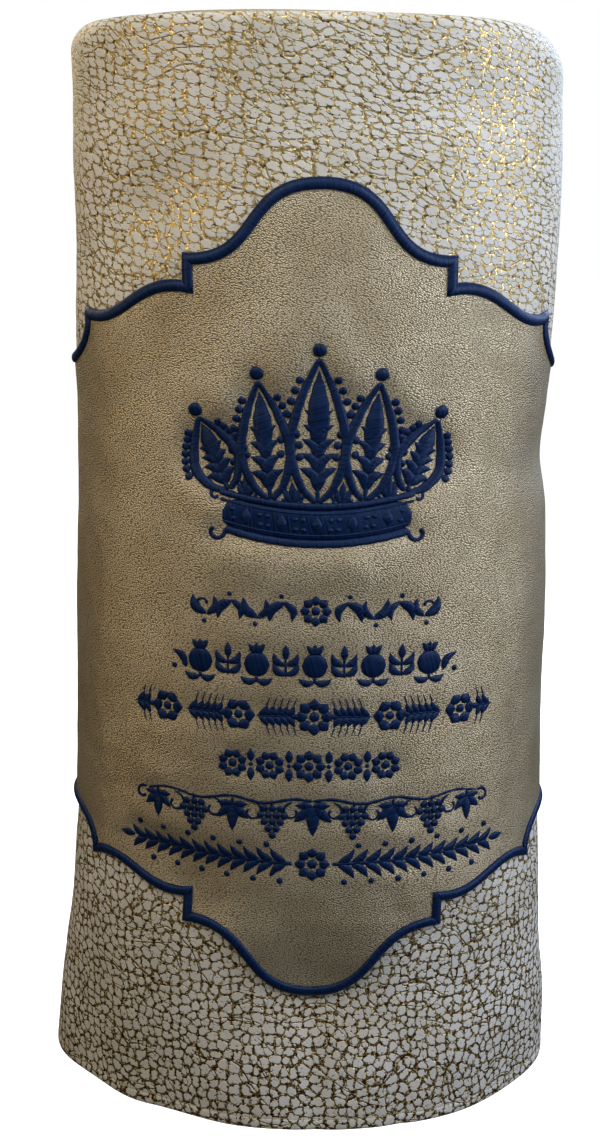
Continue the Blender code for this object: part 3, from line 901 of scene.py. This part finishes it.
def stitchedGround(reachU=220, lowest=150, highest=590):
    # Millimetre grid of how far the stitches draw the leather in, from where they lie.
    covered = np.zeros((highest - lowest, 2 * reachU))
    weighed = [(one, 1.0 if name == "embroideredCrown" else embroidery["rowsDrawIn"])
               for name, strokes in patterns.items() for one in strokes]
    for (line, half, layer), weight in weighed:
        side = sideways(line)
        for across in np.linspace(-1, 1, 7):
            at = line + across * half[:, None] * side
            u = np.clip(np.rint(at[:, 0] + reachU).astype(int), 0, covered.shape[1] - 1)
            h = np.clip(np.rint(at[:, 1] - lowest).astype(int), 0, covered.shape[0] - 1)
            covered[h, u] = weight
    near, wide, far = (blurred(covered, size) for size in embroidery["reach"])
    relief = embroidery["raisedFar"] * far - embroidery["drawnIn"] * near - embroidery["drawnInWide"] * wide

    def reliefAt(around, heights):
        u = np.clip(around + reachU, 0, covered.shape[1] - 1.001)
        h = np.clip(heights - lowest, 0, covered.shape[0] - 1.001)
        return readGrid(relief, h, u)

    return reliefAt


reliefOfStitches = stitchedGround()


body = {
    "columns": 236,
    "rows": 176,
    "wallTop": 704.0,
    "rimSteps": 12,
    "lumpSize": 17.0,
    "lumpRise": 0.28,
    "calmHem": (0.0, 14.0),  # heights between which the lumps set in above the hem
    "calmRim": (690.0, 716.0),  # and between which they end below the rim
    "seamDip": 1.1,  # depth of the back seam's groove
    "seamDipWidth": 1.3,
    "seamSwell": 0.5,  # height of the welts beside it
    "seamSwellPlace": 4.5,
    "seamSwellWidth": 3.0,
    "flatBySeam": 12.0,  # the lumps set in within this distance of it
}


def hideRelief(around, heights, size, rise, seam):
    # Lumps in the hide, none of them across the back seam, which is a narrow groove between two soft welts.
    away = girth(heights) / 2 - np.abs(around)
    bulge = lumps(around, heights, size, 3.1) + 0.5 * lumps(around, heights, size / 2.4, 8.7)
    welts = (body["seamSwell"] * np.exp(-(((away - body["seamSwellPlace"]) / body["seamSwellWidth"]) ** 2))
             - body["seamDip"] * np.exp(-((away / body["seamDipWidth"]) ** 2)))
    flattened = rise * bulge * smoothStep(0.0, body["flatBySeam"], away)
    return flattened + seam * welts + reliefOfStitches(around, heights)


def wallRelief(around, heights):
    calm = smoothStep(*body["calmHem"], heights) * (1 - smoothStep(*body["calmRim"], heights))
    return hideRelief(around, heights, body["lumpSize"], body["lumpRise"] * calm, 1.0)


def columnShares(count, seamSteps=(0.6, 1.3, 2.2, 3.4, 5.0, 7.5)):
    # Even shares of the girth, and narrow ones beside the back seam.
    even = np.linspace(-0.5, 0.5, count + 1)
    beside = np.array(seamSteps) / girths.mean()
    inner = even[np.abs(even) < 0.5 - beside[-1] * 1.3]
    return np.concatenate([[-0.5], -0.5 + beside, inner, (0.5 - beside)[::-1], [0.5]])


def rimRadii(shares):
    # Radius at which the leather bends over the rim, at these shares of its girth.
    x = onWall(shares * girth(mantle["height"]), mantle["height"], 0.0)[:, 0] / mm
    half = np.where(x > 0, sections[-1, 2], sections[-1, 1])
    added = np.where(x > 0, mantle["rimAddedRight"], mantle["rimAddedLeft"])
    return mantle["rimRadius"] + added * np.abs(x / half) ** mantle["rimEndPower"]


def buildBody():
    shares = columnShares(body["columns"])
    top = mantle["height"]
    radius = rimRadii(shares)
    hem, swell = mantle["hemWidth"], mantle["hemSwell"]
    # Height and lift of the hem's fold, which ends in a small step down to the wall.
    hemRows = [(0.0, swell - 0.7), (0.5, swell - 0.2), (1.3, swell), (3.2, swell + 0.1), (5.2, swell),
               (6.6, swell - 0.1), (hem - 0.1, swell - 0.25), (hem + 0.5, -0.1), (hem + 1.3, -0.1),
               (hem + 2.6, 0.0)]
    wallRows = np.linspace(hem + 5.0, body["wallTop"], body["rows"])
    ones = np.ones_like(shares)
    heights = [ones * h for h, _ in hemRows] + [ones * h for h in wallRows]
    lifts = [ones * s for _, s in hemRows] + [ones * 0.0 for _ in wallRows]
    lengths = list(heights)
    for turn in np.linspace(0, math.pi / 2, body["rimSteps"] + 1):
        heights.append(top - radius * (1 - math.sin(turn)))
        lifts.append(-radius * (1 - math.cos(turn)))
        lengths.append(top - radius + radius * turn)
    for share in (0.3, 0.62, 0.9, 1.0):
        heights.append(ones * top - 0.25 * smoothStep(0.8, 1.0, share))
        lifts.append(-radius - mantle["lip"] * share)
        lengths.append(top - radius + radius * math.pi / 2 + mantle["lip"] * share)
    heights, lifts, lengths = (np.array(rows) for rows in (heights, lifts, lengths))
    around = shares[None, :] * girth(heights)
    flat = np.stack([around, lengths], axis=-1)
    relief = wallRelief(around, heights) * (1 - smoothStep(2.0, 9.0, -lifts))
    places = onWall(around, heights, lifts + relief)
    mesh = meshOfGrids("mantleBody", [(places, flat)], merge=1e-5)
    piece = newPiece("mantleBody", mesh, [crackledLeather, suede], ["mantle_body"])
    thicken(piece, mantle["wall"], -1.0, inside=1)
    return piece


mantleBody = buildBody()
print("body ready")

panel = {
    "clearance": 0.5,  # mm over the wall
    "sheet": 1.4,
    "columns": 330,
    "rows": 138,
    "stepSpread": 0.8,
    "tuck": 1.2,  # how far the panel's edge stays inside its outline, under the border
    "lumpSize": 21.0,
    "lumpRise": 0.26,
}
panelTop = panel["clearance"] + panel["sheet"]


def outlineRows(stretches):
    # Shares of the girth and heights along an outline's right half.
    shares, heights = [], []
    for stretch in stretches:
        if isUpright(stretch):
            (place, start), (_, end) = stretch[0], stretch[3]
            whole = girth((start + end) / 2)
            shares[-1] = (place - panel["stepSpread"]) / whole
            shares.append((place + panel["stepSpread"]) / whole)
            heights.append(end)
            continue
        points = bezier(stretch, np.linspace(0, 1, 41)[1 if shares else 0:])
        shares += list(points[:, 0] / girth(points[:, 1]))
        heights += list(points[:, 1])
    return np.array(shares), np.array(heights)


def buildPanel():
    shares = set(columnShares(panel["columns"]).round(9))
    edges = []
    for stretches in (lowerOutline, upperOutline):
        edges.append(outlineRows(stretches))
        for stretch in filter(isUpright, stretches):
            whole = girth((stretch[0][1] + stretch[3][1]) / 2)
            for place in (stretch[0][0] - panel["stepSpread"], stretch[0][0] + panel["stepSpread"]):
                shares |= {place / whole, -place / whole}
    shares = np.array(sorted(shares))
    low, high = (np.interp(np.abs(shares), *edge) for edge in edges)
    low, high = low + panel["tuck"], high - panel["tuck"]
    wide = np.diff(shares) * girth(320.0)
    area = float((wide * ((high - low)[1:] + (high - low)[:-1]) / 2).sum())
    up = np.linspace(0, 1, panel["rows"] + 1)[:, None]
    heights = low + (high - low) * up
    around = shares[None, :] * girth(heights)
    flat = np.stack([around, heights], axis=-1)
    places = onWall(around, heights, panel["clearance"] + panelRelief(around, heights))
    mesh = meshOfGrids("centrePanel", [(places, flat)], merge=1e-5)
    piece = newPiece("centrePanel", mesh, [champagneLeather], ["centre_panel"])
    thicken(piece, panel["sheet"], 1.0)
    return piece, area


def panelRelief(around, heights):
    return hideRelief(around, heights, panel["lumpSize"], panel["lumpRise"], 0.7)


centrePanel, panelArea = buildPanel()
print("centre panel ready")


def buildStitching(name, strokes, finish, groundAt, leastRise=embroidery["rise"]):
    # Each stroke is a low closed dome of thread on the ground below it.
    angle = np.linspace(0, math.pi, embroidery["domePoints"])
    section = list(zip(np.cos(angle), np.sin(angle) ** 0.8)) + [(0.0, None), (1.0, 0.0)]
    grids = []
    for k, (line, half, layer) in enumerate(strokes):
        travelled, side = travel(line), sideways(line)
        ragged = embroidery["ragged"] * np.sin(travelled * 5.1 + k * 1.7) * (half > 0.5)
        rise = np.minimum(leastRise + embroidery["riseByWidth"] * half * 2, embroidery["mostRise"])
        rise = rise * np.sqrt(np.clip(half / max(half.max(), 1e-6), 0, 1))
        rise = rise + embroidery["layer"] * layer * (half > 0)
        rows, flat = [], []
        for across, dome in section:
            at = line + (across * (half + ragged))[:, None] * side
            ground = groundAt(at[:, 0], at[:, 1]) + 0.003 * (k % 17)  # so that no two strokes share a point
            lift = ground - embroidery["bedded"] if dome is None else ground + rise * dome
            rows.append(onWall(at[:, 0], at[:, 1], lift))
            flat.append(np.stack([travelled + k * 7.3, across * half], axis=-1))
        grids.append((np.array(rows), np.array(flat)))
    return newPiece(name, meshOfGrids(name, grids), [finish])


def panelFace(around, heights):
    return panelTop + panelRelief(around, heights)


embroidered = [buildStitching(name, strokes, satinThread, panelFace)
               for name, strokes in patterns.items()]
print("embroidery ready,", sum(len(strokes) for strokes in patterns.values()), "strokes")

seams = {
    "pitch": 3.4, "stitch": 2.5, "width": 0.5, "rise": 0.1,
    "hemHeight": 8.8,
    "besideBack": 4.6,  # from the back seam to the stitches on either side of it, at these heights
    "backFrom": 14.0, "backTo": 700.0,
}


def seamStitches():
    # Running stitches above the hem and on either side of the back seam.
    made, widths, level = [], (seams["width"],) * 2, seams["hemHeight"]
    whole = float(girth(level))
    for u in np.arange(-whole / 2 + 6, whole / 2 - 6, seams["pitch"]):
        made += stroke([(u, level), (u + seams["stitch"], level)], widths)
    for h in np.arange(seams["backFrom"], seams["backTo"], seams["pitch"]):
        for way in (-1, 1):
            u = [way * (girth(at) / 2 - seams["besideBack"]) for at in (h, h + seams["stitch"])]
            made += stroke([(u[0], h), (u[1], h + seams["stitch"])], widths)
    return made


seamStitching = buildStitching("seamStitching", seamStitches(), sewingThread, wallRelief,
                               seams["rise"])
print("seams ready")

border = {
    "width": 7.5,
    "crest": 4.4,  # mm over the wall
    "innerEdge": 1.7,  # mm over the wall at the panel's side
    "outerEdge": 0.1,
    "step": 1.4,  # mm from point to point along it, and round the back
    "backStep": 3.0,
    "ragged": 0.16,
    "raggedSize": 1.1,
    "domePoints": 11,
    "cornerReach": 30.0,  # mm from a corner within which its mitre counts
    "bedded": 0.25,  # mm that its underside lies in what it is sewn on
    "fullness": 0.85,  # of its round section
    "packed": 0.9,  # mm that the stitches press the crest down
}


def borderRoute(stretches):
    # Points along the whole closed outline with the corners' places in it.
    half, corners = [np.array(stretches[0][0], float)], []
    for k, stretch in enumerate(stretches):
        length = travel(bezier(stretch, np.linspace(0, 1, 33)))[-1]
        count = max(2, round(length / border["step"]))
        half += list(bezier(stretch, np.linspace(0, 1, count + 1)[1:]))
        if k < len(stretches) - 1:
            corners.append(len(half) - 1)
    level = half[-1][1]
    around = float(girth(level))
    count = round((around / 2 - half[-1][0]) / border["backStep"])
    half += [np.array((place, level)) for place in np.linspace(half[-1][0], around / 2, count + 1)[1:]]
    half = np.array(half)
    left = half[1:-1][::-1] * (-1, 1) + (around, 0)
    route = np.concatenate([half, left])
    return route, sorted(corners + [len(route) - k for k in corners]), around


def buildBorder(name, stretches, outer, node):
    # Satin cord along the outline. outer is 1 where the crackled leather lies on the route's left, else -1.
    route, corners, around = borderRoute(stretches)
    count = len(route)
    closing = np.array((around, 0.0))
    after = np.concatenate([route[1:], route[:1] + closing])
    forward = after - route
    lengths = np.linalg.norm(forward, axis=1)
    forward /= lengths[:, None]
    backward = np.roll(forward, 1, axis=0)
    normals = [np.stack([-v[:, 1], v[:, 0]], axis=1) for v in (backward, forward)]
    mitre = (normals[0] + normals[1]) / (1 + (normals[0] * normals[1]).sum(axis=1))[:, None]
    travelled = np.concatenate([[0.0], np.cumsum(lengths)])[:-1]
    halfWidth = border["width"] / 2
    turn = backward[:, 0] * forward[:, 1] - backward[:, 1] * forward[:, 0]  # positive to the left
    bend = np.arccos(np.clip((backward * forward).sum(axis=1), -1, 1))

    # Near a corner the inner side stops at the mitre line.
    reachLeft, reachRight = np.full(count, halfWidth), np.full(count, halfWidth)
    for k in corners:
        away = np.minimum(np.abs(travelled - travelled[k]), border["cornerReach"])
        limit = away / math.tan(bend[k] / 2)
        reach = reachLeft if turn[k] > 0 else reachRight
        np.minimum(reach, limit, out=reach)

    wavering = [noise.noise(Vector((s / border["raggedSize"], 4.2, outer))) for s in travelled]
    ragged = border["ragged"] * np.array(wavering)
    angle = np.linspace(0, math.pi, border["domePoints"])
    rows, flat = [], []
    for across, under in [(a, False) for a in np.cos(angle)] + [(-0.5, True), (0.5, True), (1.0, False)]:
        reach = np.where(across > 0, reachLeft, reachRight)
        offset = across * (reach + ragged * (reach > 0.3))
        level = (offset / halfWidth * outer + 1) / 2  # 0 at the panel's side, 1 at the crackled side
        foot = border["innerEdge"] + (border["outerEdge"] - border["innerEdge"]) * np.clip(level, 0, 1)
        if under:
            lift = foot - border["bedded"]
        else:
            dome = np.sqrt(np.clip(1 - (offset / halfWidth) ** 2, 0, 1)) ** border["fullness"]
            lift = foot + (border["crest"] - border["packed"] - foot / 2) * dome
        shifted = route + offset[:, None] * mitre
        place = np.where(shifted[:, 0] > around / 2, shifted[:, 0] - around, shifted[:, 0])
        lift = lift + panelRelief(place, shifted[:, 1])
        rows.append(onWall(place, shifted[:, 1], lift))
        flat.append(np.stack([travelled, offset + across * 0.3], axis=-1))
    places, flat = np.array(rows), np.array(flat)
    places = np.concatenate([places, places[:, :1]], axis=1)
    last = flat[:, :1] + (travelled[-1] + lengths[-1], 0.0)
    flat = np.concatenate([flat, last], axis=1)
    mesh = meshOfGrids(name, [(places, flat)])
    return newPiece(name, mesh, [satinThread], [node])


borderUpper = buildBorder("borderUpper", upperOutline, 1, "border_upper")
borderLower = buildBorder("borderLower", lowerOutline, -1, "border_lower")
print("borders ready")

top = {
    "edge": 2.5,
    "overlap": 5.0,  # mm under the body's lip
    # Share of the way from the edge to the middle, and mm over the edge.
    "crown": ((0, 0), (0.063, 0), (0.09, 3.1), (0.155, 5.9), (0.30, 8.6), (0.55, 10.0), (1, 10.4)),
    "rightCrown": 0.42,  # share of that rise at the right end
    "holeDiameter": 50.0,
    "holeSpacing": 160.0,
    "holeSides": 72,
    "holeRound": 1.0,
    "columns": 168,
    "rings": 26,
    "gatherPitch": 5.2,  # small puckers beside the top's seam
    "gatherRise": 0.16,
    "gatherPlace": 0.11,  # share of the way in, and how far they reach from there
    "gatherReach": 0.045,
}


def buildTop():
    shares = np.linspace(-0.5, 0.5, top["columns"] + 1)
    height, radius = mantle["height"], rimRadii(shares)
    rim = onWall(shares * girth(height), height, -radius - mantle["lip"] + top["overlap"])[:, :2] / mm
    width = sections[-1, 1] + sections[-1, 2]
    inward, rise = np.array(top["crown"]).T
    steps = np.concatenate([np.linspace(0, 0.06, 3), np.linspace(0.066, 0.16, 9),
                            np.linspace(0.18, 1, top["rings"] - 12)])
    profile = np.interp(steps, inward, rise)
    profile[3:-1] = (profile[2:-2] + 2 * profile[3:-1] + profile[4:]) / 4
    rows, flat = [], []
    for inset, lift in [(1, None), (0.5, None), (0, None)] + list(zip(steps, profile)):
        at = rim * (1 - inset)
        if lift is None:
            z = np.zeros(len(at))
        else:
            gather = top["gatherRise"] * np.cos(2 * math.pi * shares * girths[-1] / top["gatherPitch"])
            near = math.exp(-(((inset - top["gatherPlace"]) / top["gatherReach"]) ** 2))
            z = top["edge"] + lift * (1 + (top["rightCrown"] - 1) * (at[:, 0] / width + 0.5)) + gather * near
        rows.append(np.column_stack([at, z]) * mm)
        flat.append(at + (0.0, 900.0))  # its grain is no part of the panel's
    mesh = meshOfGrids("topPanel", [(np.array(rows), np.array(flat))])
    solid = newObject("topSolid", mesh)
    holes, radius, aside = bmesh.new(), top["holeDiameter"] / 2 * mm, top["holeSpacing"] / 2 * mm
    for side in (-1, 1):
        bmesh.ops.create_cone(holes, cap_ends=True, segments=top["holeSides"], radius1=radius, radius2=radius,
                              depth=0.06, matrix=Matrix.Translation((side * aside, 0, 0)))
    cutter = newObject("holes", newMesh("holes", holes))
    cut = solid.modifiers.new("Handle holes", "BOOLEAN")
    cut.operation = "DIFFERENCE"
    cut.object = cutter
    bpy.context.view_layer.update()
    finished = bpy.data.meshes.new_from_object(solid.evaluated_get(bpy.context.evaluated_depsgraph_get()))
    for spent in (solid, cutter):
        bpy.data.objects.remove(spent)
    finished.name = "topPanel"
    built = bmesh.new()
    built.from_mesh(finished)
    sharp = [e for e in built.edges if len(e.link_faces) == 2 and e.calc_face_angle() > math.radians(60)
             and all(abs(math.hypot(abs(v.co.x) - aside, v.co.y) - radius) < 1e-4 for v in e.verts)]
    bmesh.ops.bevel(built, geom=sharp, offset=top["holeRound"] * mm, segments=3, profile=0.5, affect="EDGES",
                    material=-1, clamp_overlap=True)
    bmesh.ops.recalc_face_normals(built, faces=built.faces[:])
    built.to_mesh(finished)
    built.free()
    piece = newPiece("topPanel", finished, [champagneLeather], ["top_panel"])
    finished.set_sharp_from_angle(angle=math.radians(50))
    return piece


topPanel = buildTop()
print("top ready")

float(girth(320.0)) * mm

lights = (
    # name, place, what it faces, size, watts, colour
    ("overhead", (0.0, -0.8, 0.85), (0.0, 0.0, 0.0), 0.7, 8.8, "#FFFDFA"),
    ("skylight", (0.0, 0.4, 1.0), (0.0, 0.0, 0.0), 0.7, 6.0, "#FFFDFA"),
    ("windowRight", (1.2, -0.5, 0.15), (0.15, 0.0, -0.3), 0.8, 18.0, "#EEF2FF"),
    ("backRight", (0.9, 0.9, 0.3), (0.1, 0.0, -0.2), 0.8, 12.0, "#BCD6FF"),
    ("front", (0.0, -1.6, 0.4), (0.0, 0.0, -0.3), 0.8, 2.4, "#D8EEFF"),
    ("fillLeft", (-1.2, -0.8, 0.45), (0.0, 0.0, -0.2), 0.9, 12.0, "#FFE2B8"),
    ("backLeft", (-0.9, 0.9, 0.3), (-0.1, 0.0, -0.2), 0.8, 4.5, "#FFEFD2"),
)


def buildStage():
    ground = bmesh.new()
    bmesh.ops.create_grid(ground, x_segments=1, y_segments=1, size=9.0)
    mesh = newMesh("floor", ground)
    mesh.transform(Matrix.Translation((0, 0, floorHeight - 0.0002)))
    floor = newObject("floor", mesh)
    # A light table: pale opal acrylic lit from below, so no shadow falls on it.
    mesh.materials.append(newMaterial("opal_light_table", {
        "Base Color": "#F2F2F0", "Roughness": 0.8, "Emission Color": "#FFFFFF", "Emission Strength": 1.0})[0])
    floor.visible_diffuse = floor.visible_glossy = False  # it throws no light back up the wall
    for name, place, target, size, watts, colour in lights:
        lamp = bpy.data.lights.new(name, "AREA")
        lamp.shape = "SQUARE"
        lamp.size = size
        lamp.energy = watts
        lamp.color = hexColour(colour)[:3]
        turned = (Vector(target) - Vector(place)).to_track_quat("-Z", "Y").to_matrix().to_4x4()
        newObject(name, lamp).matrix_world = Matrix.Translation(place) @ turned
    world = bpy.data.worlds.new("studio")
    bpy.context.scene.world = world
    world.use_nodes = True
    tree = world.node_tree
    tree.nodes.clear()
    # White behind the mantle, and dim all round it.
    seen = addNode(tree, "LightPath")
    strength = addNode(tree, "MapRange", (seen.outputs["Is Camera Ray"], 0.0, 1.0, 0.04))
    sky = addNode(tree, "Background", {"Color": "#FFFFFF", "Strength": strength})
    addNode(tree, "OutputWorld", {"Surface": sky})
    bpy.context.scene.view_settings.view_transform = "Standard"


view = {
    "place": (-0.0105, -0.996, -0.0912),
    "down": 15.15,  # degrees
    "roll": 0.7,
    "focal": 1448.9,  # pixels of the photograph's 1147
    "imageHeight": 1147,
    "sensor": 36.0,
}


def buildCamera():
    camera = bpy.data.cameras.new("camera")
    camera.sensor_width = view["sensor"]
    camera.lens = view["focal"] / view["imageHeight"] * view["sensor"]
    camera.clip_start = 0.05
    held = newObject("camera", camera)
    held.matrix_world = (Matrix.Translation(view["place"])
                         @ Matrix.Rotation(math.radians(90 - view["down"]), 4, "X")
                         @ Matrix.Rotation(math.radians(view["roll"]), 4, "Z"))
    bpy.context.scene.camera = held


buildStage()
buildCamera()
print("stage ready")
